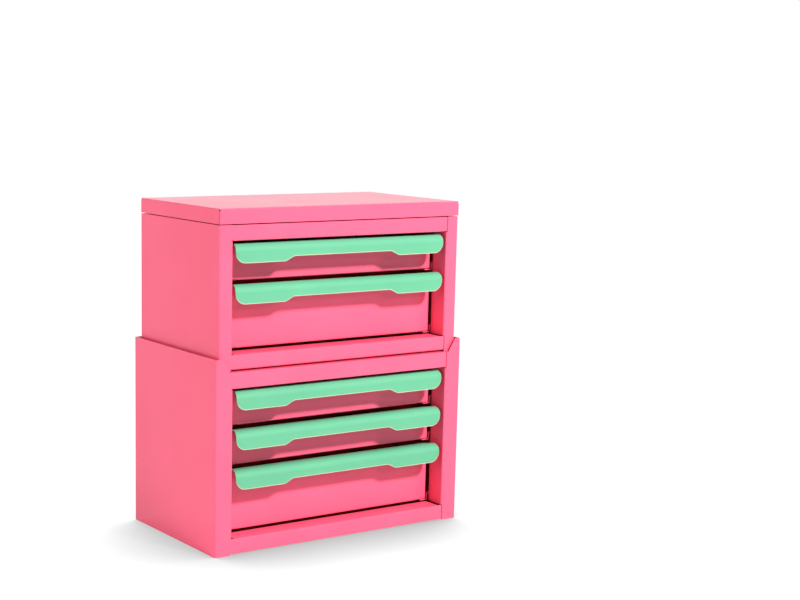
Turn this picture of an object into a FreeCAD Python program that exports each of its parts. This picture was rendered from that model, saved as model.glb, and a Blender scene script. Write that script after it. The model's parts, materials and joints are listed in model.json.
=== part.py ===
import FreeCAD, Part
import os
import re
import Sketcher

# Desktop drawer organizer: two stacked sheet-steel cabinets, five drawers and a lid.
# +X is right, +Y is back, +Z is up. The origin is on the table, under the middle of the base.

SIZES = [
    # Sheet and folds
    ("sheet", "0.8", "thickness of the steel sheet"),
    ("bend_radius", "0.5", "inside radius of a fold"),
    ("joint", "0.3", "gap left at a butt joint between two sheets"),
    ("back_flange", "10", "width of the back panel's weld flanges"),
    ("weld_flange", "8", "height of the weld flanges on floor, seat and runners"),
    ("rail_recess", "0.6", "how far the rails' faces stand behind the side flanges' faces"),
    ("rest_inset", "4", "distance of a lid rest's upright from the wall"),
    ("rest_foot", "11", "width of a lid rest's foot"),
    ("base_foot_step", "0.6", "height of the base's floor above its side walls' lower edges"),
    ("upper_foot_step", "1.4", "the same on the upper cabinet"),
    ("return_depth", "18.5", "how far the front returns go into the opening"),
    ("return_short", "3", "how much shorter a rail's return is than the opening, at each end"),
    # Base cabinet
    ("base_width", "250", "overall width"),
    ("base_depth", "139", "overall depth"),
    ("base_flange", "16", "width of the front flange beside the drawers"),
    ("base_side_gap", "3.25", "gap between a drawer and the edge of the opening"),
    ("base_floor_rail", "13.6", "top of the bottom rail"),
    ("base_top_rail", "13.7", "height of the top rail's face"),
    ("lip_rise", "11.5", "how far the side walls and the back rise above the seat"),
    ("cut_top", "5.8", "width of the front flange at the top of the slanted cut"),
    ("cut_foot", "13", "width of the front flange at the foot of the slanted cut"),
    # Upper cabinet
    ("nest_side", "3.7", "gap between the upper cabinet and the base's lip, at each side"),
    ("nest_back", "2.5", "gap between the upper cabinet and the base's lip, at the back"),
    ("upper_setback", "3.2", "how far the upper front stands behind the base's front"),
    ("upper_flange", "12.4", "width of the front flange beside the drawers"),
    ("upper_side_gap", "2.35", "gap between a drawer and the edge of the opening"),
    ("upper_floor_rail", "13.9", "top of the bottom rail above this cabinet's foot"),
    ("upper_top_rail", "12.9", "height of the top rail's face"),
    # Lid
    ("lid_height", "12.4", "height of the rims"),
    ("lid_overhang", "0.25", "how far a rim stands out past the wall under it"),
    ("lid_gap", "0.8", "gap under the rims"),
    ("lid_seam", "0.35", "width of the open seam at each corner of the lid"),
    ("lid_relief", "1.3", "height and width of the relief hole at the top of each corner seam"),
    # Drawers
    ("shallow_height", "31.7", "from the tray's floor to the top of the handle strip"),
    ("deep_height", "54.3", "the same on a deep drawer"),
    ("drawer_recess", "18.5", "how far the drawer fronts stand behind the cabinet's front"),
    ("back_play", "0.3", "gap between a closed drawer and the back panel"),
    ("top_clearance", "2.5", "gap over the upper drawer of a cabinet"),
    ("floor_clearance", "2", "gap under the lowest drawer of a cabinet, above the bottom rail"),
    ("drawer_gap", "1.5", "gap between one drawer and the next"),
    ("wall_drop", "4.8", "how much lower the tray's walls are than its handle strip"),
    ("hem", "4", "height of the folded hem on the tray's walls"),
    ("front_round", "1.8", "outside radius of the tray's upright folds"),
    ("relief_width", "12", "length of the bend relief at the front's lower corners"),
    ("relief_height", "1", "height of that bend relief"),
    ("drawer_travel", "85", "how far a drawer pulls out before its stop tabs catch"),
    ("stop_play", "0.2", "gap left between stop tab and return at full travel"),
    ("tab_out", "5", "how far a stop tab stands out of the tray's wall"),
    ("tab_height", "8", "height of a stop tab"),
    ("tab_level", "11", "height of a stop tab above the tray's floor"),
    # Runners
    ("runner_play", "0.1", "gap between tray and runner"),
    ("side_play", "1.2", "gap between the tray's wall and the runner's guide"),
    ("ledge_lap", "6", "how far the runner's ledge goes under the tray"),
    ("guide_height", "6", "height of the runner's guide"),
    # Handle strips
    ("apron_setback", "0.3", "how far the strip's apron stands behind the cabinet's front"),
    ("strip_short", "0.7", "how much shorter a handle strip is than its drawer, at each end"),
    ("flange_slope", "0.18", "fall of the strip's flange towards the drawer, per length"),
    ("flange_taper", "4", "how much shorter the strip's flange is at its back, at each end"),
    ("handle_drop", "15.8", "height of the apron at its two ends"),
    ("handle_bend", "6.5", "outside radius of the strip's front bend"),
    ("handle_hook", "8", "length of the leg that hooks behind the drawer's front"),
    ("end_tab", "47.7", "length of the taller part at each end of the apron"),
    ("step_width", "8", "length of the slanted step in the apron's lower edge"),
    ("step_height", "3.9", "height of that step"),
    ("end_round", "9.2", "radius of the apron's lower corners"),
    ("step_round", "3", "radius at the step's corners"),
    # Rivets
    ("rivet_margin", "25.75", "from the drawer's side to its outer rivet"),
    ("rivet_drop", "4.5", "from the front's upper edge down to the rivets"),
    ("rivet_radius", "1.5", "radius of a rivet's shank"),
    ("rivet_head", "2.8", "radius of a rivet's head, inside the drawer"),
    ("rivet_tail", "2.4", "radius of its set end, behind the apron"),
    ("rivet_crown", "0.9", "height of its head and of its set end"),
    ("rivet_play", "0.1", "gap between shank and hole"),
]
RIVETS_PER_STRIP = 3

document = FreeCAD.newDocument("drawer_organizer")
sizes = document.addObject("Spreadsheet::Sheet", "Sizes")
for row, (alias, amount, meaning) in enumerate(SIZES, start=1):
    sizes.set("A%d" % row, alias)
    sizes.set("B%d" % row, amount)
    sizes.setAlias("B%d" % row, alias)
    sizes.set("C%d" % row, meaning)
document.recompute()

pieces = []


def bound(formula):
    """The formula with each size named as a cell of the sheet."""
    return re.sub(r"\b[a-z_][a-z_0-9]*\b(?!\()", r"Sizes.\g<0>", formula)


def new_piece(label, place=("0", "0", "0")):
    """A body of its own, put at its place in the organizer."""
    body = document.addObject("PartDesign::Body", label)
    body.Label = label
    for axis, formula in zip("xyz", place):
        body.setExpression("Placement.Base." + axis, bound(formula))
    pieces.append(body)
    return body


def attached_sketch(body, name, plane, offset):
    """An empty sketch on one of the body's own origin planes, moved along its normal."""
    sketch = body.newObject("Sketcher::SketchObject", name)
    support = [feature for feature in body.Origin.OriginFeatures if feature.Role == plane][0]
    sketch.AttachmentSupport = [(support, "")]
    sketch.MapMode = "FlatFace"
    sketch.setExpression("AttachmentOffset.Base.z", bound(offset))
    return sketch


def tie(sketch, line, end, corner):
    """Holds one end of a line at the corner's two formulas."""
    for kind, formula in zip(("DistanceX", "DistanceY"), corner):
        number = sketch.addConstraint(Sketcher.Constraint(kind, -1, 1, line, end, 1.0))
        sketch.setExpression("Constraints[%d]" % number, bound(formula))


def outline(body, name, plane, loops, offset="0"):
    """Closed outlines of straight lines. Each corner is a pair of formulas."""
    sketch = attached_sketch(body, name, plane, offset)
    for corners in loops:
        count = len(corners)
        first = sketch.GeometryCount
        for number in range(count):
            start = FreeCAD.Vector(number, number * number, 0)
            after = (number + 1) % count
            end = FreeCAD.Vector(after, after * after, 0)
            sketch.addGeometry(Part.LineSegment(start, end))
        for number, corner in enumerate(corners):
            line = first + number
            before = first + (number - 1) % count
            sketch.addConstraint(Sketcher.Constraint("Coincident", before, 2, line, 1))
            tie(sketch, line, 1, corner)
    return sketch


def circles(body, name, plane, centres, radius, offset="0"):
    """Circles of one radius. Each centre is a pair of formulas."""
    sketch = attached_sketch(body, name, plane, offset)
    for centre in centres:
        circle = sketch.addGeometry(Part.Circle(FreeCAD.Vector(1, 1, 0), FreeCAD.Vector(0, 0, 1), 1))
        tie(sketch, circle, 3, centre)
        number = sketch.addConstraint(Sketcher.Constraint("Radius", circle, 1.0))
        sketch.setExpression("Constraints[%d]" % number, bound(radius))
    return sketch


def pad(body, name, sketch, length, both_ways=False, reverse=False):
    """Material along the sketch's normal."""
    feature = body.newObject("PartDesign::Pad", name)
    feature.Profile = sketch
    feature.setExpression("Length", bound(length))
    feature.Reversed = reverse
    if both_ways:
        feature.SideType = "Symmetric"
    return feature


def pocket(body, name, sketch, length=None, reverse=False):
    """A cut against the sketch's normal, or along it when reversed; right through with no length."""
    feature = body.newObject("PartDesign::Pocket", name)
    feature.Profile = sketch
    feature.Reversed = reverse
    if length is None:
        feature.Type = "ThroughAll"
    else:
        feature.setExpression("Length", bound(length))
    return feature


def rounded(body, name, feature, sketch, corners, radius):
    """Rounds the feature's edges that stand on the given corners of a sketch."""
    document.recompute()
    turn = sketch.Placement.Rotation
    normal = turn.multVec(FreeCAD.Vector(0, 0, 1))
    chosen = []
    for corner in corners:
        foot = sketch.Placement.multVec(sketch.getPoint(corner, 1))
        for number, edge in enumerate(feature.Shape.Edges, start=1):
            ends = [vertex.Point - foot for vertex in edge.Vertexes]
            if edge.Curve.TypeId != "Part::GeomLine" or len(ends) < 2:
                continue
            aside = [(end - normal * end.dot(normal)).Length for end in ends]
            if max(aside) < FIT:
                chosen.append("Edge%d" % number)
    if not chosen:
        raise RuntimeError("no edge found for %s of %s" % (name, body.Label))
    fillet = body.newObject("PartDesign::Fillet", name)
    fillet.Base = (feature, chosen)
    fillet.setExpression("Radius", bound(radius))
    return fillet


FIT = 1e-4
OUTER_BEND = "bend_radius + sheet"
RAIL_BACK = "(rail_recess + sheet)"
STRIP_REACH = "(drawer_recess - apron_setback)"
SLANT = "sqrt(1 + flange_slope ^ 2)"


def mirrored_loop(corners):
    """The same outline on the other side of the middle."""
    return [("-(%s)" % x, y) for x, y in corners]


def box_loop(low, high):
    """A rectangle between two corners."""
    return [(low[0], low[1]), (high[0], low[1]), (high[0], high[1]), (low[0], high[1])]


class Cabinet:
    """The formulas of one cabinet, in its own frame: middle of the front edge, at its foot."""

    def __init__(self, name, half, depth, rise, place, drawers):
        self.name = name
        self.place = place
        self.half = half
        self.depth = depth
        self.opening = "(%s - %s_flange)" % (half, name)
        self.seam = "(%s + %s)" % (self.opening, OUTER_BEND)
        self.drawer_half = "(%s - %s_side_gap)" % (self.opening, name)
        self.floor_rail = "%s_floor_rail" % name
        self.foot_step = "%s_foot_step" % name
        self.plate_half = "(%s - 2 * sheet - joint)" % half
        self.plate_back = "(%s - sheet - joint)" % depth

        # The drawers stand on each other's gaps; the cabinet is as high as they need.
        self.drawers = drawers
        self.levels = []
        level = self.floor_rail + " + floor_clearance"
        for height in reversed(drawers):
            self.levels.insert(0, "(%s)" % level)
            level = "%s + %s + drawer_gap" % (level, height)
        self.rail_foot = "(%s - drawer_gap + top_clearance)" % level
        self.shelf = "(%s + %s_top_rail)" % (self.rail_foot, name)
        self.height = "(%s + %s)" % (self.shelf, rise)


BASE = Cabinet("base", "(base_width / 2)", "base_depth", "lip_rise", ("0", "-base_depth / 2", "0"),
               ("shallow_height", "shallow_height", "deep_height"))
UPPER = Cabinet("upper", "(base_width / 2 - sheet - nest_side)",
                "(base_depth - upper_setback - sheet - nest_back)", "0",
                ("0", "upper_setback - base_depth / 2", BASE.shelf),
                ("shallow_height", "deep_height"))


def side_panel(cabinet, side, cut_back):
    """Wall, front flange and return in one folded sheet; the rails' zones are cut out of it."""
    body = new_piece("%s_side_%s" % (cabinet.name, side), cabinet.place)
    half, opening = cabinet.half, cabinet.opening
    section = [(opening, "return_depth"), (opening, "0"), (half, "0"), (half, cabinet.depth),
               (half + " - sheet", cabinet.depth), (half + " - sheet", "sheet"),
               (opening + " + sheet", "sheet"), (opening + " + sheet", "return_depth")]
    inside = opening + " - sheet"
    low_cut = box_loop((inside, "-sheet"), (cabinet.seam, cabinet.floor_rail + " + joint"))
    high_cut = [(inside, cabinet.rail_foot + " - joint"), (cabinet.seam, cabinet.rail_foot + " - joint")]
    high_cut += cut_back
    high_cut += [(inside, cabinet.height + " + sheet")]
    loops = [low_cut, high_cut]
    if side == "left":
        section = mirrored_loop(section)
        loops = [mirrored_loop(loop) for loop in loops]
    plan = outline(body, "Section", "XY_Plane", [section])
    wall = pad(body, "Sheet", plan, cabinet.height)
    wall = rounded(body, "OuterFolds", wall, plan, (1, 2), OUTER_BEND)
    rounded(body, "InnerFolds", wall, plan, (5, 6), "bend_radius")
    cuts = outline(body, "RailCuts", "XZ_Plane", loops)
    pocket(body, "RailZones", cuts)


def back_panel(cabinet):
    """Back panel between the side walls, with a weld flange along each of them."""
    body = new_piece("%s_back" % cabinet.name, cabinet.place)
    edge = "(%s - sheet)" % cabinet.half
    front = cabinet.depth + " - back_flange"
    right = [(edge, cabinet.depth), (edge, front), (edge + " - sheet", front),
             (edge + " - sheet", cabinet.depth + " - sheet")]
    section = right + mirrored_loop(right)[::-1]
    plan = outline(body, "Section", "XY_Plane", [section], cabinet.foot_step)
    wall = pad(body, "Sheet", plan, "%s - %s" % (cabinet.height, cabinet.foot_step))
    wall = rounded(body, "OuterFolds", wall, plan, (0, 7), OUTER_BEND)
    rounded(body, "InnerFolds", wall, plan, (3, 4), "bend_radius")


def railed_panel(cabinet, label, section, outer, inner, return_level, return_up, flange):
    """A floor, seat or top panel whose front edge is folded twice into a rail."""
    body = new_piece("%s_%s" % (cabinet.name, label), cabinet.place)
    profile = outline(body, "Section", "YZ_Plane", [section])
    plate = pad(body, "Sheet", profile, "2 * " + cabinet.plate_half, both_ways=True)
    plate = rounded(body, "OuterFolds", plate, profile, outer, OUTER_BEND)
    rounded(body, "InnerFolds", plate, profile, inner, "bend_radius")

    # The face of the rail fits between the side flanges.
    corner = box_loop((cabinet.seam + " - joint", "-sheet"), (cabinet.half, RAIL_BACK + " + joint"))
    notches = outline(body, "CornerCuts", "XY_Plane", [corner, mirrored_loop(corner)], "-sheet")
    pocket(body, "FlangeRoom", notches, reverse=True)

    # The return is shorter than the opening.
    corner = box_loop((cabinet.opening + " - return_short", OUTER_BEND),
                      (cabinet.half, "return_depth + sheet"))
    ends = outline(body, "ReturnCuts", "XY_Plane", [corner, mirrored_loop(corner)], return_level)
    pocket(body, "ReturnEnds", ends, OUTER_BEND, reverse=return_up)

    # The weld flanges lie on the side walls, between the returns and the back's flanges.
    across = outline(body, "FlangeSection", "XZ_Plane", [flange, mirrored_loop(flange)],
                     "-(return_depth + joint)")
    pad(body, "WeldFlanges", across,
        cabinet.depth + " - back_flange - return_depth - 2 * joint", reverse=True)


def weld_flange_section(cabinet, plate_low, hangs=True):
    """An edge strip of the plate and the flange that hangs or rises from it."""
    wall = "(%s - sheet)" % cabinet.half
    plate_high = plate_low + " + sheet"
    root, near, end = plate_low, plate_high, plate_low + " + weld_flange"
    if hangs:
        root, near, end = plate_high, plate_low, plate_low + " - weld_flange"
    return [(wall + " - 3 * sheet", root), (wall, root), (wall, end),
            (wall + " - sheet", end), (wall + " - sheet", near), (wall + " - 3 * sheet", near)]


def floor_panel(cabinet):
    """Floor of the cabinet; its front is folded up and back as the bottom rail."""
    rail, rear, step = cabinet.floor_rail, cabinet.plate_back, cabinet.foot_step
    section = [(rear, step), ("rail_recess", step), ("rail_recess", rail), ("return_depth", rail),
               ("return_depth", rail + " - sheet"), (RAIL_BACK, rail + " - sheet"),
               (RAIL_BACK, step + " + sheet"), (rear, step + " + sheet")]
    flange = weld_flange_section(cabinet, step, False)
    railed_panel(cabinet, "bottom", section, (1, 2), (5, 6), rail, False, flange)


def seat_panel(cabinet):
    """Seat for the upper cabinet or the lid; its front is folded down and back as the top rail."""
    level, foot, rear = cabinet.shelf, cabinet.rail_foot, cabinet.plate_back
    section = [(rear, level), ("rail_recess", level), ("rail_recess", foot), ("return_depth", foot),
               ("return_depth", foot + " + sheet"), (RAIL_BACK, foot + " + sheet"),
               (RAIL_BACK, level + " - sheet"), (rear, level + " - sheet")]
    flange = weld_flange_section(cabinet, level + " - sheet")
    railed_panel(cabinet, "top", section, (1, 2), (5, 6), foot, True, flange)


def lid_rests(cabinet):
    """Three folded angles on the seat; their uprights carry the lid, a little inside its rims."""
    level = cabinet.shelf
    tip = level + " + lid_gap + lid_height - sheet"
    side_face = "(%s - sheet - rest_inset)" % cabinet.half
    back_face = "(%s - sheet - rest_inset)" % cabinet.depth
    for place, plane, face in (("right", "XZ_Plane", side_face), ("left", "XZ_Plane", side_face),
                               ("back", "YZ_Plane", back_face)):
        body = new_piece("%s_lid_rest_%s" % (cabinet.name, place), cabinet.place)
        section = [(face, level), (face, tip), (face + " - sheet", tip),
                   (face + " - sheet", level + " + sheet"), (face + " - rest_foot", level + " + sheet"),
                   (face + " - rest_foot", level)]
        if place == "left":
            section = mirrored_loop(section)
        if place == "back":
            profile = outline(body, "Section", plane, [section])
            length = "2 * (%s - rest_foot - sheet)" % side_face
            angle = pad(body, "Sheet", profile, length, both_ways=True)
        else:
            profile = outline(body, "Section", plane, [section], "-(sheet + rest_inset)")
            length = "%s - 2 * (sheet + rest_inset)" % cabinet.depth
            angle = pad(body, "Sheet", profile, length, reverse=True)
        angle = rounded(body, "OuterFold", angle, profile, (0,), OUTER_BEND)
        rounded(body, "InnerFold", angle, profile, (3,), "bend_radius")


def runner(cabinet, number, side, level):
    """Folded runner: a ledge under the tray, a guide beside it, and a flange on the side wall."""
    body = new_piece("%s_runner_%d_%s" % (cabinet.name, number, side), cabinet.place)
    ledge = level + " - runner_play"
    tip = cabinet.drawer_half + " - ledge_lap"
    guide = cabinet.drawer_half + " + side_play"
    wall = "(%s - sheet)" % cabinet.half
    bridge = ledge + " + guide_height"
    section = [(tip, ledge), (guide, ledge), (guide, bridge), (wall + " - sheet", bridge),
               (wall + " - sheet", bridge + " + weld_flange"), (wall, bridge + " + weld_flange"),
               (wall, bridge + " - sheet"), (guide + " + sheet", bridge + " - sheet"),
               (guide + " + sheet", ledge + " - sheet"), (tip, ledge + " - sheet")]
    if side == "left":
        section = mirrored_loop(section)
    profile = outline(body, "Section", "XZ_Plane", [section], "-(return_depth + joint)")
    strip = pad(body, "Sheet", profile,
                cabinet.depth + " - back_flange - return_depth - 2 * joint", reverse=True)
    strip = rounded(body, "OuterFolds", strip, profile, (2, 6, 8), OUTER_BEND)
    rounded(body, "InnerFolds", strip, profile, (1, 3, 7), "bend_radius")


def lid():
    """Folded pan with four rims; each corner is a mitred open seam under a relief hole."""
    body = new_piece("lid", (UPPER.place[0], UPPER.place[1],
                             "%s + %s + lid_gap" % (UPPER.place[2], UPPER.height)))
    half = "(%s + lid_overhang)" % UPPER.half
    front, rear = "-lid_overhang", "(%s + lid_overhang)" % UPPER.depth
    corners = box_loop(("-" + half, front), (half, rear))
    plan = outline(body, "Plan", "XY_Plane", [corners])
    block = pad(body, "Block", plan, "lid_height")
    block = rounded(body, "Corners", block, plan, (0, 1, 2, 3), "bend_radius")

    document.recompute()
    top = block.Shape.BoundBox.ZMax
    rim = ["Edge%d" % number for number, edge in enumerate(block.Shape.Edges, start=1)
           if edge.BoundBox.ZMin > top - FIT]
    folds = body.newObject("PartDesign::Fillet", "TopFolds")
    folds.Base = (block, rim)
    folds.setExpression("Radius", bound(OUTER_BEND))

    inside = box_loop(("-(%s - sheet)" % half, front + " + sheet"),
                      (half + " - sheet", rear + " - sheet"))
    hollow = outline(body, "Inside", "XY_Plane", [inside])
    pocket(body, "Hollow", hollow, "lid_height - sheet", reverse=True)

    # Each seam is a mitre: the rims meet on the diagonal of their corner.
    relief_foot = "lid_height - sheet - lid_relief"
    slits = outline(body, "SeamPlan", "XY_Plane", mitre_slits(half, front, rear, "lid_seam"))
    pocket(body, "Seams", slits, relief_foot, reverse=True)
    holes = outline(body, "ReliefPlan", "XY_Plane", mitre_slits(half, front, rear, "lid_relief"),
                    relief_foot)
    pocket(body, "Reliefs", holes, "lid_relief", reverse=True)


def mitre_slits(half, front, rear, width):
    """Plan of a slit of the given width on the diagonal of each of the lid's four corners."""
    slack = "sqrt(0.125) * " + width
    slits = []
    for edge, inward, outward in ((front, "+", "-"), (rear, "-", "+")):
        near = ("%s + sheet" % half, "%s %s sheet" % (edge, outward))
        far = ("%s - 2 * sheet" % half, "%s %s 2 * sheet" % (edge, inward))
        slit = [("%s - %s" % (near[0], slack), "%s %s %s" % (near[1], outward, slack)),
                ("%s + %s" % (near[0], slack), "%s %s %s" % (near[1], inward, slack)),
                ("%s + %s" % (far[0], slack), "%s %s %s" % (far[1], inward, slack)),
                ("%s - %s" % (far[0], slack), "%s %s %s" % (far[1], outward, slack))]
        slits += [slit, mirrored_loop(slit)]
    return slits


def tray(label, cabinet, height, place):
    """Folded tray of one drawer: front, floor, hemmed walls, stop tabs and rivet holes."""
    body = new_piece(label, place)
    half = cabinet.drawer_half
    length = "(%s - sheet - drawer_recess - back_play)" % cabinet.depth
    wall_top = "(%s - wall_drop)" % height
    front_top = front_level(height)

    plan = outline(body, "Plan", "XY_Plane", [box_loop(("-" + half, "0"), (half, length))])
    block = pad(body, "Block", plan, wall_top)
    block = rounded(body, "UprightFolds", block, plan, (0, 1, 2, 3), "front_round")
    document.recompute()
    floor_edges = ["Edge%d" % number for number, edge in enumerate(block.Shape.Edges, start=1)
                   if edge.BoundBox.ZMax < FIT]
    folds = body.newObject("PartDesign::Fillet", "FloorFolds")
    folds.Base = (block, floor_edges)
    folds.setExpression("Radius", bound(OUTER_BEND))

    plate = outline(body, "FrontPlan", "XY_Plane",
                    [box_loop(("front_round - " + half, "0"), (half + " - front_round", "sheet"))],
                    wall_top + " - sheet")
    pad(body, "Front", plate, front_top + " - " + wall_top + " + sheet")

    cavity = outline(body, "CavityPlan", "XY_Plane",
                     [box_loop(("-(%s - sheet)" % half, "sheet"),
                               (half + " - sheet", length + " - sheet"))],
                     "sheet")
    hollow = pocket(body, "Cavity", cavity, reverse=True)
    rounded(body, "UprightFoldsInside", hollow, cavity, (0, 1, 2, 3), "front_round - sheet")

    hem_in, hem_back = half + " - 2 * sheet", length + " - 2 * sheet"
    right = [(half + " - sheet", "2 * sheet"), (half + " - sheet", length + " - sheet")]
    inner = [("-(%s)" % hem_in, hem_back), ("-(%s)" % hem_in, "2 * sheet")]
    ring = right + mirrored_loop(right)[::-1] + inner[::-1] + mirrored_loop(inner)
    band = outline(body, "HemPlan", "XY_Plane", [ring], wall_top + " - hem")
    pad(body, "Hem", band, "hem")

    relief = [(half + " - relief_width", "-sheet"), (half + " + sheet", "-sheet"),
              (half + " + sheet", "relief_height"), (half + " - relief_width", "relief_height")]
    cuts = outline(body, "ReliefPlan", "XZ_Plane", [relief, mirrored_loop(relief)])
    pocket(body, "BendRelief", cuts, OUTER_BEND)

    holes = circles(body, "RivetPlan", "XZ_Plane", rivet_centres(cabinet, front_top),
                    "rivet_radius + rivet_play")
    pocket(body, "RivetHoles", holes, "sheet")

    tab_face = "(return_depth + drawer_travel + stop_play - drawer_recess)"
    tab = box_loop((half + " - sheet", tab_face), (half + " + tab_out", tab_face + " + sheet"))
    window = box_loop((half + " - 2 * sheet", tab_face + " + sheet"),
                      (half + " + sheet", tab_face + " + sheet + tab_out"))
    windows = outline(body, "WindowPlan", "XY_Plane", [window, mirrored_loop(window)], "tab_level")
    pocket(body, "Windows", windows, "tab_height", reverse=True)
    tabs = outline(body, "TabPlan", "XY_Plane", [tab, mirrored_loop(tab)], "tab_level")
    pad(body, "StopTabs", tabs, "tab_height")


def rivet_row(cabinet):
    """Half the length of a row of rivets, and the distance between two of them."""
    reach = "(%s - rivet_margin)" % cabinet.drawer_half
    return reach, "(2 * %s / %d)" % (reach, RIVETS_PER_STRIP - 1)


def rivet_centres(cabinet, front_top):
    """Places of the rivets on a drawer's front, as seen from the front."""
    reach, pitch = rivet_row(cabinet)
    level = front_top + " - rivet_drop"
    return [("%s * %d - %s" % (pitch, number, reach), level) for number in range(RIVETS_PER_STRIP)]


def strip_corner(height):
    """Where the strip's flat outer faces would meet, if its front bend had no radius."""
    return "(%s + handle_bend * (flange_slope + %s - 1))" % (height, SLANT)


def front_level(height):
    """Upper edge of a drawer's front, under the slanted flange of its strip."""
    fall = "flange_slope * (%s + sheet)" % STRIP_REACH
    return "(%s - %s - sheet * %s)" % (strip_corner(height), fall, SLANT)


def handle(label, cabinet, height, place):
    """Handle strip: apron, round bend, slanted flange, and a leg hooked behind the front."""
    body = new_piece(label, place)
    half, reach = "(%s - strip_short)" % cabinet.drawer_half, STRIP_REACH
    foot, corner, under = height + " - handle_drop", strip_corner(height), front_level(height)
    section = [("-" + reach, foot), ("-" + reach, corner),
               ("2 * sheet", "%s - flange_slope * (%s + 2 * sheet)" % (corner, reach)),
               ("2 * sheet", under + " - handle_hook"), ("sheet", under + " - handle_hook"),
               ("sheet", under), ("sheet - " + reach, "%s + flange_slope * %s" % (under, reach)),
               ("sheet - " + reach, foot)]
    profile = outline(body, "Section", "YZ_Plane", [section])
    strip = pad(body, "Sheet", profile, "2 * " + half, both_ways=True)
    strip = rounded(body, "FrontBend", strip, profile, (1,), "handle_bend")
    strip = rounded(body, "FrontBendInside", strip, profile, (6,), "handle_bend - sheet")
    rounded(body, "HookBend", strip, profile, (2,), "sheet")

    tab_end = "(%s - end_tab)" % half
    step = [(tab_end, foot + " - sheet"), (tab_end, foot),
            (tab_end + " - step_width", foot + " + step_height")]
    notch = step + mirrored_loop(step)[::-1]
    face = outline(body, "ApronPlan", "XZ_Plane", [notch], reach + " + sheet")
    cut = pocket(body, "Notch", face, "3 * sheet")
    cut = rounded(body, "StepRounds", cut, face, (1, 2, 3, 4), "step_round")

    ends = outline(body, "EndPlan", "XZ_Plane",
                   [box_loop(("-" + half, foot), (half, height))])
    rounded(body, "EndRounds", cut, ends, (0, 1), "end_round")

    # The ends taper from the bend back, so the hooked leg clears the hems of the tray.
    start, tip = "sheet - " + reach, "2 * sheet"
    wedge = [(half, start), (half + " + sheet", start), (half + " + sheet", tip + " + sheet"),
             (half + " - flange_taper", tip + " + sheet"), (half + " - flange_taper", tip)]
    plan = outline(body, "TaperPlan", "XY_Plane", [wedge, mirrored_loop(wedge)])
    pocket(body, "FlangeTaper", plan, reverse=True)

    holes = circles(body, "RivetPlan", "XZ_Plane", rivet_centres(cabinet, under),
                    "rivet_radius + rivet_play", "-sheet")
    pocket(body, "RivetHoles", holes, "sheet")


def rivets(label, cabinet, height, place):
    """Rivets through a front and its strip: the head inside the drawer, the set end outside."""
    reach = rivet_row(cabinet)[0]
    up = "%s + %s - rivet_drop" % (place[2], front_level(height))
    body = new_piece(label, ("-" + reach, place[1], up))
    body.AllowCompound = True
    inside = "2 * sheet"
    section = [("-rivet_crown", "0"), ("-rivet_crown", "rivet_radius"), ("0", "rivet_tail"),
               ("0", "rivet_radius"), (inside, "rivet_radius"), (inside, "rivet_head"),
               (inside + " + rivet_crown", "rivet_radius"), (inside + " + rivet_crown", "0")]
    profile = outline(body, "Section", "YZ_Plane", [section])
    turned = body.newObject("PartDesign::Revolution", "Rivet")
    turned.Profile = profile
    turned.ReferenceAxis = (profile, ["H_Axis"])
    turned.Angle = 360
    row = body.newObject("PartDesign::LinearPattern", "Row")
    row.Originals = [turned]
    axis = [feature for feature in body.Origin.OriginFeatures if feature.Role == "X_Axis"][0]
    row.Direction = (axis, [""])
    row.Occurrences = RIVETS_PER_STRIP
    row.setExpression("Length", bound("2 * " + reach))
    body.Tip = row


def drawer(number, cabinet, height, level):
    """One drawer: tray, handle strip and rivets. The level is its floor's height in the cabinet."""
    place = ("0", "%s + drawer_recess" % cabinet.place[1], "%s + %s" % (cabinet.place[2], level))
    tray("drawer_%d_tray" % number, cabinet, height, place)
    handle("drawer_%d_handle" % number, cabinet, height, place)
    rivets("drawer_%d_rivets" % number, cabinet, height, place)


def fill_cabinet(cabinet, first):
    """Drawers from the top down, each with its two runners."""
    for number, (height, level) in enumerate(zip(cabinet.drawers, cabinet.levels)):
        drawer(first + number, cabinet, height, level)
        for side in ("left", "right"):
            runner(cabinet, number + 1, side, level)


lip_cut = [(BASE.seam, BASE.shelf), (BASE.half + " - cut_foot", BASE.shelf),
           (BASE.half + " - cut_top", BASE.height), (BASE.half + " - cut_top", BASE.height + " + sheet")]
plain_cut = [(UPPER.seam, UPPER.height + " + sheet")]
for hand in ("left", "right"):
    side_panel(BASE, hand, lip_cut)
    side_panel(UPPER, hand, plain_cut)
for frame in (BASE, UPPER):
    back_panel(frame)
    floor_panel(frame)
    seat_panel(frame)
lid_rests(UPPER)
lid()
fill_cabinet(UPPER, 1)
fill_cabinet(BASE, 1 + len(UPPER.drawers))

document.recompute()
for item in document.Objects:
    if "Invalid" in item.State or "Error" in item.State:
        raise RuntimeError("%s failed" % item.Label)
for piece in pieces:
    if piece.Shape.isNull() or not piece.Shape.isValid():
        raise RuntimeError("%s has no sound shape" % piece.Label)

os.makedirs("parts", exist_ok=True)
for piece in pieces:
    piece.Shape.exportStep(os.path.join("parts", piece.Label + ".step"))
print("%d pieces written" % len(pieces))
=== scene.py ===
import json
import math
from contextlib import contextmanager
import bmesh
import bpy
import numpy as np
from bpy.props import FloatProperty, FloatVectorProperty, PointerProperty, StringProperty
from mathutils import Matrix, Vector


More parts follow.
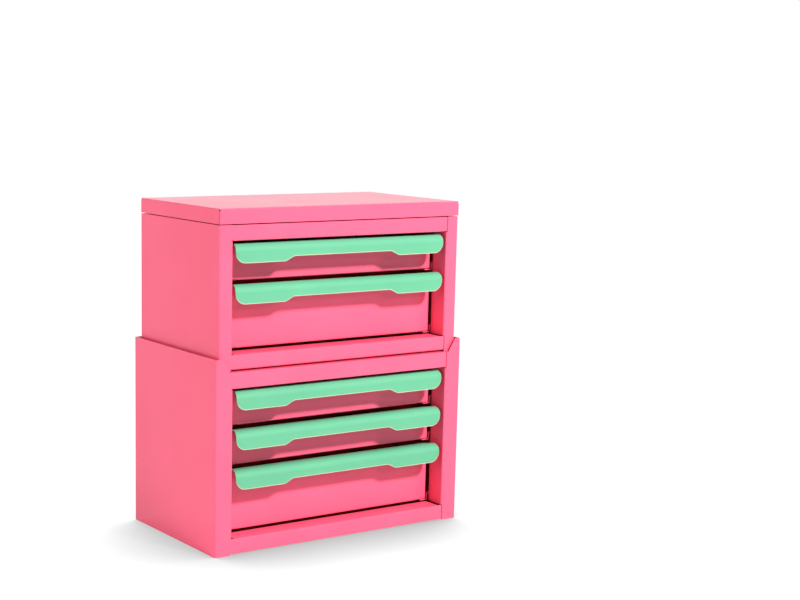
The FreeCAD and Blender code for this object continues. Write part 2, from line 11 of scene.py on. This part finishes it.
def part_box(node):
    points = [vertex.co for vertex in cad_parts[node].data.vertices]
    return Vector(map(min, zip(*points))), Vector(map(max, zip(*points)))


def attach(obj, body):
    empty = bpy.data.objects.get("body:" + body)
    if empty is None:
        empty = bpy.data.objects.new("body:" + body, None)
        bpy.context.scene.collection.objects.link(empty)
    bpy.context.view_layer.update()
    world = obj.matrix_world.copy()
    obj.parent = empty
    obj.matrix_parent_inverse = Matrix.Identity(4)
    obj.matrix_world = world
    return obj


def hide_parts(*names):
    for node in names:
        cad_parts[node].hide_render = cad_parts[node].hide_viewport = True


bl_info = {
    "name": "Desktop Drawer Organizer",
    "version": (1, 0, 0),
    "blender": (4, 5, 0),
    "location": "View3D > Sidebar > Organizer",
    "description": "Dresses the sheet-steel organizer: powder-coated cabinets, trays and handle strips",
    "category": "Object",
}

MM = 0.001
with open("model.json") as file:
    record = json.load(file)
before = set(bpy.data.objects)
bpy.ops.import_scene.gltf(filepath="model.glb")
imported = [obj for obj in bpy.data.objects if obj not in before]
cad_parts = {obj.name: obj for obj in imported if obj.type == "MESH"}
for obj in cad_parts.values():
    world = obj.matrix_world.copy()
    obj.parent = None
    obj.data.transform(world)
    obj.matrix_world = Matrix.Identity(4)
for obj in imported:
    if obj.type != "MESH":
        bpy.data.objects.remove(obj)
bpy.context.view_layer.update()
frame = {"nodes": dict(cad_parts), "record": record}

# Names of the pieces, from the frame's bodies
BODIES = frame["record"]["behaviour"]["bodies"]
BODY_OF = {node: body for body, nodes in BODIES.items() for node in nodes}
CABINETS = sorted(node for node in BODY_OF if node.startswith(("base_", "upper_")))
TRAYS = sorted(node for node in BODY_OF if node.endswith("_tray"))
HANDLES = sorted(node for node in BODY_OF if node.endswith("_handle"))
RIVETS = sorted(node for node in BODY_OF if node.endswith("_rivets"))

# Widths of the finishes' patterns, and the depth of the coat's orange peel
COAT_CLOUD = 70 * MM
ORANGE_PEEL = 4 * MM
PEEL_DEPTH = 0.02 * MM
ZINC_GRAIN = 0.8 * MM

# Points this close are one point, facets this level are one flat, and edges sharper than this are rounded
SAME_POINT = 0.001 * MM
SAME_FLAT = math.radians(0.4)
SHARP_EDGE = math.radians(35)

# Columns of a handle strip from its middle outwards: middle run, each bend of the step, end tab, corner
MIDDLE_COLUMNS, BLEND_COLUMNS, TAB_COLUMNS, CORNER_COLUMNS = 9, 7, 8, 18

# Rows of a handle strip: heights on the apron as shares, rows round its front bend and its hook bend
APRON_ROWS = np.array([0, 0.15, 0.3, 0.5, 0.7, 0.85])
BEND_ROWS, HOOK_ROWS = 22, 6

# A rivet's sides, the rows of its domes, and the radius of its set end and shank as shares of its head's
RIVET_SIDES, DOME_ROWS = 24, 7
SET_END, SHANK = 0.85, 0.53

# Soft boxes round the organizer: where each stands and how wide it is, in metres
LAMPS = {
    "high_lamp": ((0.44, -1.72, 1.54), 0.24),
    "low_lamp": ((0.25, -2.1, 0.97), 0.24),
    "side_lamp": ((-1.6, 0.1, 0.55), 1.2),
}
LAMP_TARGET = (0, 0, 0.14)

# The floor's half width, and the openness at which its own white, darkened near the object as a painted
# contact shadow, is darkest and full
FLOOR_REACH = 4.0
FLOOR_DARKEST, FLOOR_OPEN = 0.3, 0.8
SHADE_SAMPLES = 32

SENSOR_WIDTH = 36
WHITE = (1, 1, 1, 1)

# The mix node's colour sockets share their names with its number sockets, so they go by their index
MIX_FIRST, MIX_SECOND, MIX_RESULT = 6, 7, 2


def length(name, description, size):
    """A size in metres that can be changed."""
    return FloatProperty(name=name, description=description, default=size, subtype="DISTANCE", precision=5)


def power(name, description, watts):
    """A lamp's power that can be changed."""
    return FloatProperty(name=name, description=description, default=watts, unit="POWER")


class OrganizerSizes(bpy.types.PropertyGroup):
    """Sizes of the sheet metal."""

    sheet: length("Sheet", "Thickness of the steel", 0.8 * MM)
    edge: length("Coated edge", "Rounding of a coated sheet's cut edge", 0.16 * MM)
    bend: length("Strip bend", "Outside radius of the handle strip's front bend", 6.5 * MM)
    slope: FloatProperty(name="Flange slope", description="Fall of the strip's flange towards the drawer",
                         default=0.18, precision=3, subtype="FACTOR")
    hook_bend: length("Hook bend", "Outside radius of the bend over the front", 0.8 * MM)
    hook_leg: length("Hook leg", "Length of the leg behind the drawer's front", 8 * MM)
    end_round: length("End round", "Radius of the apron's lower corners", 9.2 * MM)
    end_tab: length("End tab", "Length of the apron's taller ends", 47.7 * MM)
    step_width: length("Step width", "Length of the slanted step", 8 * MM)
    step_height: length("Step height", "Height of the slanted step", 3.9 * MM)
    step_blend: length("Step blend", "Half length of the round at a step's corner", 1.1 * MM)
    taper: length("Flange taper", "How much shorter the flange is at its back", 4 * MM)
    # Width of the pale rim, a painted highlight along the strip's cut edge for the light that the rounded
    # edge catches.
    rim: length("Pale rim", "Width of the thin coat along the strip's cut edge", 0.6 * MM)


class OrganizerColours(bpy.types.PropertyGroup):
    """Colours as sRGB hex values."""

    pink: StringProperty(name="Pink", description="Powder coat of cabinets and trays", default="F75F7F")
    pink_deep: StringProperty(name="Deep pink", description="Thicker places of the pink coat",
                              default="F35B7A")
    mint: StringProperty(name="Mint", description="Powder coat of the handle strips", default="63AE87")
    mint_deep: StringProperty(name="Deep mint", description="Thicker places of the mint coat",
                              default="5EA984")
    # The cut edge's pale colour is a painted highlight for the light that the rounded edge catches.
    rim: StringProperty(name="Cut edge", description="Thin mint coat on the strip's cut edge",
                        default="B6BD9A")
    zinc: StringProperty(name="Zinc", description="Zinc plating of the rivets", default="C4C6C8")
    floor: StringProperty(name="Floor", description="Floor under the organizer", default="F2F2F2")


class OrganizerStage(bpy.types.PropertyGroup):
    """Camera, lamps and floor."""

    place: FloatVectorProperty(name="Camera", description="Where the camera stands",
                               default=(-0.7607, -1.1547, 0.3802), subtype="XYZ", unit="LENGTH")
    heading: FloatProperty(name="Heading", description="Turn of the camera to the right of +Y",
                           default=math.radians(33.96), subtype="ANGLE")
    tilt: FloatProperty(name="Tilt", description="Tilt of the camera below the horizon",
                        default=math.radians(10.01), subtype="ANGLE")
    roll: FloatProperty(name="Roll", description="Roll of the camera",
                        default=math.radians(0.99), subtype="ANGLE")
    lens: FloatProperty(name="Lens", description="Focal length on a 36 mm wide sensor",
                        default=71.78, unit="CAMERA")
    shift_x: FloatProperty(name="Shift right", description="Sideways shift of the frame", default=0.1065)
    shift_y: FloatProperty(name="Shift up", description="Upward shift of the frame", default=0.086)
    high_lamp: power("High lamp", "Power of the high lamp in front", 69)
    low_lamp: power("Low lamp", "Power of the low lamp in front", 6)
    side_lamp: power("Side lamp", "Power of the soft box at the left", 17.5)
    sky: FloatProperty(name="Room light", description="Strength of the light from all sides", default=0.015)
    paper: FloatProperty(name="Paper glow", description="Share of the floor's own white",
                         default=0.95, min=0, max=1, subtype="FACTOR")
    # The floor's painted contact shadow: how dark its own white gets at the object, how far that reaches,
    # and the direction it is judged from.
    shade: FloatProperty(name="Contact shade", description="Strength of that white right at the object",
                         default=0.46, min=0, max=1, subtype="FACTOR")
    contact: length("Contact reach", "How far off the object still shades", 125 * MM)
    glow_from: FloatVectorProperty(name="Glow direction", description="Where that white comes from",
                                   default=(0.28, 0.41, 0.87), subtype="DIRECTION")


def linear(code):
    """sRGB hex value to linear red, green, blue and alpha."""
    parts = np.array([int(code[place:place + 2], 16) for place in (0, 2, 4)]) / 255
    low = parts / 12.92
    high = ((parts + 0.055) / 1.055) ** 2.4
    return (*np.where(parts <= 0.04045, low, high).tolist(), 1.0)


def add(tree, kind, settings=None, links=None):
    """Adds a node, sets its properties or inputs, and links its inputs, each by its name or index."""
    node = tree.nodes.new(kind)
    for name, amount in (settings or {}).items():
        if isinstance(name, int) or name in node.inputs:
            node.inputs[name].default_value = amount
        else:
            setattr(node, name, amount)
    for name, source in (links or {}).items():
        tree.links.new(source, node.inputs[name])
    return node


def new_material(name):
    """An empty node material and its tree."""
    material = bpy.data.materials.new(name)
    material.use_nodes = True
    material.node_tree.nodes.clear()
    return material, material.node_tree


def powder_coat(name, colour, deep, roughness, ior):
    """Powder-coated steel, sprayed dry and baked: an even, opaque semi-gloss skin of polyester.

    The eye sees a clean saturated colour, a shade deeper and glossier in places, soft wide highlights,
    and a faint orange peel. Real peel is about 1.5 mm wide; it is drawn 4 mm wide so that it shows.
    """
    material, tree = new_material(name)
    place = add(tree, "ShaderNodeTexCoord")
    cloud = add(tree, "ShaderNodeTexNoise", {"Scale": 1 / COAT_CLOUD, "Detail": 2.0, "Roughness": 0.5},
                {"Vector": place.outputs["Object"]})
    spread = add(tree, "ShaderNodeMapRange",
                 {"interpolation_type": "SMOOTHERSTEP", "From Min": 0.2, "From Max": 0.8},
                 {"Value": cloud.outputs["Fac"]})
    tint = add(tree, "ShaderNodeMix",
               {"data_type": "RGBA", MIX_FIRST: linear(colour), MIX_SECOND: linear(deep)},
               {"Factor": spread.outputs["Result"]})
    peel = add(tree, "ShaderNodeTexNoise", {"Scale": 1 / ORANGE_PEEL, "Detail": 1.0, "Roughness": 0.4},
               {"Vector": place.outputs["Object"]})
    bump = add(tree, "ShaderNodeBump", {"Strength": 0.12, "Distance": PEEL_DEPTH},
               {"Height": peel.outputs["Fac"]})
    gloss = add(tree, "ShaderNodeMapRange", {"To Min": roughness - 0.03, "To Max": roughness + 0.04},
                {"Value": cloud.outputs["Fac"]})
    shader = add(tree, "ShaderNodeBsdfPrincipled", {"IOR": ior},
                 {"Base Color": tint.outputs[MIX_RESULT], "Normal": bump.outputs["Normal"],
                  "Roughness": gloss.outputs["Result"]})
    add(tree, "ShaderNodeOutputMaterial", links={"Surface": shader.outputs["BSDF"]})
    return material


def zinc_plate(name, colour):
    """Zinc-plated rivet steel: grey metal with a fine blotchy grain from the bath."""
    material, tree = new_material(name)
    place = add(tree, "ShaderNodeTexCoord")
    grain = add(tree, "ShaderNodeTexNoise", {"Scale": 1 / ZINC_GRAIN, "Detail": 3.0},
                {"Vector": place.outputs["Object"]})
    gloss = add(tree, "ShaderNodeMapRange", {"To Min": 0.28, "To Max": 0.46},
                {"Value": grain.outputs["Fac"]})
    shader = add(tree, "ShaderNodeBsdfPrincipled", {"Base Color": linear(colour), "Metallic": 1.0},
                 {"Roughness": gloss.outputs["Result"]})
    add(tree, "ShaderNodeOutputMaterial", links={"Surface": shader.outputs["BSDF"]})
    return material


def shared_material(name):
    """The organizer's material of that name, made once."""
    colours = bpy.context.scene.organizer_colours
    if name in bpy.data.materials:
        return bpy.data.materials[name]
    if name == "pink_powder_coat":
        return powder_coat(name, colours.pink, colours.pink_deep, roughness=0.22, ior=1.36)
    if name == "mint_powder_coat":
        return powder_coat(name, colours.mint, colours.mint_deep, roughness=0.56, ior=1.3)
    # The strip's cut edge: a pale coat that is a painted highlight.
    if name == "mint_cut_edge":
        return powder_coat(name, colours.rim, colours.rim, roughness=0.5, ior=1.3)
    return zinc_plate(name, colours.zinc)


def linked(name, data):
    """A new object in the scene that shows the data."""
    thing = bpy.data.objects.new(name, data)
    bpy.context.scene.collection.objects.link(thing)
    return thing


def new_piece(name, mesh, material, node):
    """An object for the mesh, which stands for a node of the frame and rides on its body."""
    piece = linked(name, mesh)
    mesh.materials.clear()
    mesh.materials.append(shared_material(material))
    mesh.polygons.foreach_set("use_smooth", np.ones(len(mesh.polygons), bool))
    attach(piece, BODY_OF[node])
    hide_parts(node)
    return piece


def soften_edges(piece, width, segments=2, material=-1):
    """Rounds the sharp edges, as the baked coat does on a cut sheet. The material -1 is the faces' own."""
    bevel = piece.modifiers.new("CoatedEdges", "BEVEL")
    bevel.width = width
    bevel.segments = segments
    bevel.limit_method = "ANGLE"
    bevel.angle_limit = SHARP_EDGE
    bevel.harden_normals = True
    bevel.material = material
    flats = piece.modifiers.new("FlatSheets", "WEIGHTED_NORMAL")
    flats.mode = "FACE_AREA"
    flats.keep_sharp = False


@contextmanager
def merged(mesh):
    """The mesh open for editing, with the points that coincide merged."""
    work = bmesh.new()
    work.from_mesh(mesh)
    bmesh.ops.remove_doubles(work, verts=work.verts, dist=SAME_POINT)
    yield work
    work.to_mesh(mesh)
    work.free()


def folded_sheet(node, edge):
    """The frame's sheet with its triangles joined to flats and its cut edges rounded."""
    mesh = frame["nodes"][node].data.copy()
    with merged(mesh) as work:
        bmesh.ops.dissolve_limit(work, angle_limit=SAME_FLAT, verts=work.verts, edges=work.edges)
    soften_edges(new_piece(node + "_sheet", mesh, "pink_powder_coat", node), edge)


def grid_mesh(name, points):
    """A mesh of quads over a grid of points (rows, columns, xyz)."""
    rows, columns = points.shape[:2]
    index = np.arange(rows * columns).reshape(rows, columns)
    quads = np.stack([index[:-1, :-1], index[:-1, 1:], index[1:, 1:], index[1:, :-1]], axis=-1)
    mesh = bpy.data.meshes.new(name)
    mesh.from_pydata(points.reshape(-1, 3).tolist(), [], quads.reshape(-1, 4).tolist())
    mesh.update()
    return mesh


def apron_edge(across, half, sizes):
    """Height of the apron's lower edge over its lowest line, at each distance from the middle.

    A soft ramp lifts the middle part by the step's height: the difference of two bends, each a parabola
    over the blend's length between two straight runs. Near the end the edge follows a quarter circle.
    """
    blend = sizes.step_blend

    def bent(run):
        return np.where(run < -blend, 0, np.where(run > blend, run, (run + blend) ** 2 / (4 * blend)))

    inward = half - sizes.end_tab - across
    ramp = (bent(inward) - bent(inward - sizes.step_width)) * sizes.step_height / sizes.step_width
    beyond = np.clip(across - (half - sizes.end_round), 0, sizes.end_round)
    corner = sizes.end_round - np.sqrt(np.maximum(sizes.end_round ** 2 - beyond ** 2, 0))
    return ramp + corner


def stations(half, sizes):
    """Distances from the middle at which the strip's columns stand: close at the step and the end."""
    blend, curve = sizes.step_blend, sizes.end_round
    step_end = half - sizes.end_tab
    step_start = step_end - sizes.step_width
    turn = np.linspace(0, math.pi / 2, CORNER_COLUMNS)
    right = np.concatenate([
        np.linspace(0, step_start - blend, MIDDLE_COLUMNS),
        np.linspace(step_start - blend, step_start + blend, BLEND_COLUMNS),
        np.linspace(step_end - blend, step_end + blend, BLEND_COLUMNS),
        np.linspace(step_end + blend, half - curve, TAB_COLUMNS),
        half - curve + curve * np.sin(turn),
        [half - sizes.rim],
    ])
    right = np.unique(np.round(right, 7))
    return np.concatenate([-right[:0:-1], right])


def handle_surface(node, sizes):
    """Outer skin of a handle strip: its section carried along X, with a cut lower edge.

    Rows follow the section from the apron's lower edge up, round the front bend as an arc that turns past
    the crest by the flange's slope, back and down along the flange, round the hook bend as an arc that
    ends upright, and down the leg. Columns run along the strip.
    """
    low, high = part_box(node)
    half, top, front, back = high.x, high.z, low.y, high.y
    across = stations(half, sizes)
    foot = low.z + apron_edge(np.abs(across), half, sizes)
    apron_top = top - sizes.bend
    rise = foot + (apron_top - foot) * APRON_ROWS[:, None]
    # The second row stays on the upper line of the painted highlight along the lower edge.
    rise[1] = np.minimum(rise[1], foot + sizes.rim)
    apron = np.stack([np.broadcast_to(across, rise.shape), np.full(rise.shape, front), rise], axis=-1)

    slope = math.atan(sizes.slope)
    turn = np.linspace(0, math.pi / 2 + slope, BEND_ROWS)
    bend_y = front + sizes.bend * (1 - np.cos(turn))
    bend_z = apron_top + sizes.bend * np.sin(turn)

    def flange(y):
        return bend_z[-1] - sizes.slope * (y - bend_y[-1])

    hook = np.linspace(slope, math.pi / 2, HOOK_ROWS)
    hook_y = back - sizes.hook_bend
    hook_z = flange(hook_y) - sizes.hook_bend / math.cos(slope)
    leg_foot = flange(back - sizes.sheet) - sizes.sheet / math.cos(slope) - sizes.hook_leg
    depth = np.concatenate([bend_y, hook_y + sizes.hook_bend * np.sin(hook), [back, back]])
    level = np.concatenate([bend_z, hook_z + sizes.hook_bend * np.cos(hook),
                            [(hook_z + leg_foot) / 2, leg_foot]])
    shape = (len(depth), len(across))
    rest = np.stack([np.broadcast_to(across, shape), np.broadcast_to(depth[:, None], shape),
                     np.broadcast_to(level[:, None], shape)], axis=-1)

    # The strip's ends taper from the bend back.
    start = front + sizes.sheet
    share = np.clip((rest[..., 1] - start) / (back - start), 0, 1)
    rest[..., 0] *= 1 - share * sizes.taper / half
    return grid_mesh(node + "_strip", np.concatenate([apron, rest]))


def paint_edge_highlight(mesh, columns):
    """Gives the outermost quads of a strip's grid, at its ends and its lower edge, the second material: a
    pale band that is a painted highlight along the cut edge.
    """
    rim = np.zeros((len(mesh.polygons) // columns, columns), np.int32)
    rim[0] = rim[:, 0] = rim[:, -1] = 1
    mesh.polygons.foreach_set("material_index", rim.ravel())


def solid_sheet(piece, thickness):
    """Gives the skin its sheet thickness, inwards, with the second material, the painted edge highlight, on
    the cut edge.
    """
    solid = piece.modifiers.new("Sheet", "SOLIDIFY")
    solid.thickness = thickness
    solid.offset = -1
    solid.use_even_offset = True
    solid.material_offset_rim = 1


def rivet_mesh(node, sizes):
    """Three turned rivets: the profile of set end, shank and head goes round an axis along Y.

    Both ends are quarter ellipses, each half as high as the rivets' length beyond two sheets.
    """
    low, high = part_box(node)
    radius = (high.z - low.z) / 2
    middle = (high.z + low.z) / 2
    crown = (high.y - low.y - 2 * sizes.sheet) / 2
    dome = np.linspace(0, math.pi / 2, DOME_ROWS)
    shank = SHANK * radius
    reach = np.concatenate([SET_END * radius * np.sin(dome), [shank, shank], radius * np.sin(dome[::-1])])
    place = np.concatenate([low.y + crown * (1 - np.cos(dome)), [low.y + crown, high.y - crown],
                            high.y - crown * (1 - np.cos(dome[::-1]))])
    turn = np.linspace(0, 2 * math.pi, RIVET_SIDES, endpoint=False)
    rings = np.arange(len(reach) * RIVET_SIDES).reshape(len(reach), RIVET_SIDES)
    beside = np.roll(rings, -1, axis=1)
    quads = np.stack([rings[:-1], beside[:-1], beside[1:], rings[1:]], axis=-1).reshape(-1, 4)
    vertices, faces = [], []
    for number, centre in enumerate((low.x + radius, 0.0, high.x - radius)):
        ring = np.stack([centre + reach[:, None] * np.cos(turn),
                         np.broadcast_to(place[:, None], rings.shape),
                         middle + reach[:, None] * np.sin(turn)], axis=-1)
        vertices.append(ring.reshape(-1, 3))
        faces.append(quads + number * rings.size)
    mesh = bpy.data.meshes.new(node)
    mesh.from_pydata(np.concatenate(vertices).tolist(), [], np.concatenate(faces).tolist())
    with merged(mesh) as work:
        bmesh.ops.recalc_face_normals(work, faces=work.faces)
    return mesh


class ORGANIZER_OT_cabinets(bpy.types.Operator):
    """Cabinet panels, lid rests and runners"""

    bl_idname = "organizer.cabinets"
    bl_label = "Cabinets"

    def execute(self, context):
        for node in CABINETS:
            folded_sheet(node, context.scene.organizer_sizes.edge)
        return {"FINISHED"}


class ORGANIZER_OT_lid(bpy.types.Operator):
    """Folded lid"""

    bl_idname = "organizer.lid"
    bl_label = "Lid"

    def execute(self, context):
        folded_sheet("lid", context.scene.organizer_sizes.edge)
        return {"FINISHED"}


class ORGANIZER_OT_trays(bpy.types.Operator):
    """Drawer trays"""

    bl_idname = "organizer.trays"
    bl_label = "Trays"

    def execute(self, context):
        for node in TRAYS:
            folded_sheet(node, context.scene.organizer_sizes.edge)
        return {"FINISHED"}


class ORGANIZER_OT_handles(bpy.types.Operator):
    """Handle strips"""

    bl_idname = "organizer.handles"
    bl_label = "Handle strips"

    def execute(self, context):
        sizes = context.scene.organizer_sizes
        for node in HANDLES:
            mesh = handle_surface(node, sizes)
            piece = new_piece(node + "_strip", mesh, "mint_powder_coat", node)
            # Second material: the painted highlight along the cut edge.
            mesh.materials.append(shared_material("mint_cut_edge"))
            paint_edge_highlight(mesh, len(stations(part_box(node)[1].x, sizes)) - 1)
            solid_sheet(piece, sizes.sheet)
            # The rounded edges take the painted highlight too.
            soften_edges(piece, sizes.edge * 2, segments=3, material=1)
        return {"FINISHED"}


class ORGANIZER_OT_rivets(bpy.types.Operator):
    """Rivets of the handle strips"""

    bl_idname = "organizer.rivets"
    bl_label = "Rivets"

    def execute(self, context):
        for node in RIVETS:
            mesh = rivet_mesh(node, context.scene.organizer_sizes)
            new_piece(node + "_set", mesh, "zinc_plate", node)
        return {"FINISHED"}


def seen_directly(tree):
    """1 for what the camera sees, also in a gloss or through glass."""
    path = add(tree, "ShaderNodeLightPath")
    gloss = add(tree, "ShaderNodeMath", {"operation": "MAXIMUM"},
                {0: path.outputs["Is Camera Ray"], 1: path.outputs["Is Glossy Ray"]})
    both = add(tree, "ShaderNodeMath", {"operation": "MAXIMUM"},
               {0: gloss.outputs["Value"], 1: path.outputs["Is Transmission Ray"]})
    return both.outputs["Value"]


def white_paper(stage, colour):
    """Seamless white paper, uncoated and matt. Seen directly, it has a white of its own.

    That white comes from above and behind, and is weaker where the object stands in its way: a painted
    contact shadow, made by ambient occlusion.
    """
    material, tree = new_material("white_paper")
    glow_from = add(tree, "ShaderNodeCombineXYZ", dict(zip("XYZ", stage.glow_from)))
    # Painted contact shadow: ambient occlusion towards the glow's direction darkens the floor's own white.
    openness = add(tree, "ShaderNodeAmbientOcclusion",
                   {"samples": SHADE_SAMPLES, "Distance": stage.contact},
                   {"Normal": glow_from.outputs["Vector"]})
    strength = add(tree, "ShaderNodeMapRange",
                   {"From Min": FLOOR_DARKEST, "From Max": FLOOR_OPEN,
                    "To Min": stage.shade, "To Max": 1 / stage.paper},
                   {"Value": openness.outputs["AO"]})
    share = add(tree, "ShaderNodeMapRange", {"To Max": stage.paper}, {"Value": seen_directly(tree)})
    paint = add(tree, "ShaderNodeBsdfDiffuse", {"Color": linear(colour)})
    glow = add(tree, "ShaderNodeEmission", {"Color": WHITE}, {"Strength": strength.outputs["Result"]})
    lift = add(tree, "ShaderNodeMixShader",
               links={"Fac": share.outputs["Result"], 1: paint.outputs["BSDF"], 2: glow.outputs["Emission"]})
    add(tree, "ShaderNodeOutputMaterial", links={"Surface": lift.outputs["Shader"]})
    return material


def paper_floor(stage, colour):
    """A level square of white paper under the organizer: a grid of its four corners."""
    ends = np.array([-FLOOR_REACH, FLOOR_REACH])
    x, y = np.meshgrid(ends, ends)
    mesh = grid_mesh("floor", np.stack([x, y, np.zeros_like(x)], axis=-1))
    mesh.materials.append(white_paper(stage, colour))
    linked("floor", mesh)


def white_room(stage):
    """A room that looks white and sheds little light."""
    room = bpy.data.worlds.new("white_room")
    room.use_nodes = True
    tree = room.node_tree
    tree.nodes.clear()
    strength = add(tree, "ShaderNodeMapRange", {"To Min": stage.sky, "To Max": 1.0},
                   {"Value": seen_directly(tree)})
    back = add(tree, "ShaderNodeBackground", {"Color": WHITE}, {"Strength": strength.outputs["Result"]})
    add(tree, "ShaderNodeOutputWorld", links={"Surface": back.outputs["Background"]})
    bpy.context.scene.world = room


def soft_lamp(name, place, size, watts):
    """A square soft box that faces the organizer."""
    lamp = bpy.data.lights.new(name, "AREA")
    lamp.shape = "SQUARE"
    lamp.size = size
    lamp.energy = watts
    aim = (Vector(LAMP_TARGET) - Vector(place)).to_track_quat("-Z", "Y")
    linked(name, lamp).matrix_world = Matrix.Translation(place) @ aim.to_matrix().to_4x4()


def camera(stage):
    """The camera, turned to its heading, tilted down and rolled."""
    lens = bpy.data.cameras.new("camera")
    lens.sensor_width = SENSOR_WIDTH
    lens.lens = stage.lens
    lens.shift_x = stage.shift_x
    lens.shift_y = stage.shift_y
    turned = Matrix.Rotation(-stage.heading, 4, "Z")
    tilted = Matrix.Rotation(math.pi / 2 - stage.tilt, 4, "X")
    rolled = Matrix.Rotation(stage.roll, 4, "Z")
    holder = linked("camera", lens)
    holder.matrix_world = Matrix.Translation(stage.place) @ turned @ tilted @ rolled
    bpy.context.scene.camera = holder


class ORGANIZER_OT_stage(bpy.types.Operator):
    """Floor, white room, lamps and camera"""

    bl_idname = "organizer.stage"
    bl_label = "Stage"

    def execute(self, context):
        stage = context.scene.organizer_stage
        paper_floor(stage, context.scene.organizer_colours.floor)
        white_room(stage)
        for name, (place, size) in LAMPS.items():
            soft_lamp(name, place, size, getattr(stage, name))
        camera(stage)
        context.scene.view_settings.view_transform = "Standard"
        return {"FINISHED"}


class ORGANIZER_PT_panel(bpy.types.Panel):
    """Lists the organizer's pieces and settings"""

    bl_idname = "ORGANIZER_PT_panel"
    bl_label = "Organizer"
    bl_space_type = "VIEW_3D"
    bl_region_type = "UI"
    bl_category = "Organizer"

    def draw(self, context):
        for operator in OPERATORS:
            self.layout.operator(operator.bl_idname)
        for setting, group in GROUPS.items():
            column = self.layout.column()
            for name in group.__annotations__:
                column.prop(getattr(context.scene, setting), name)


OPERATORS = (ORGANIZER_OT_cabinets, ORGANIZER_OT_lid, ORGANIZER_OT_trays, ORGANIZER_OT_handles,
             ORGANIZER_OT_rivets, ORGANIZER_OT_stage)
GROUPS = {"organizer_sizes": OrganizerSizes, "organizer_colours": OrganizerColours,
          "organizer_stage": OrganizerStage}
CLASSES = (*GROUPS.values(), *OPERATORS, ORGANIZER_PT_panel)


def register():
    """Adds the classes and the scene's settings."""
    for kind in CLASSES:
        bpy.utils.register_class(kind)
    for setting, group in GROUPS.items():
        setattr(bpy.types.Scene, setting, PointerProperty(type=group))


def unregister():
    """Takes them away again."""
    for setting in GROUPS:
        delattr(bpy.types.Scene, setting)
    for kind in reversed(CLASSES):
        bpy.utils.unregister_class(kind)


def main():
    """Makes every piece and the stage."""
    register()
    bpy.ops.organizer.cabinets()
    bpy.ops.organizer.lid()
    bpy.ops.organizer.trays()
    bpy.ops.organizer.handles()
    bpy.ops.organizer.rivets()
    bpy.ops.organizer.stage()


if __name__ == "__main__":
    main()
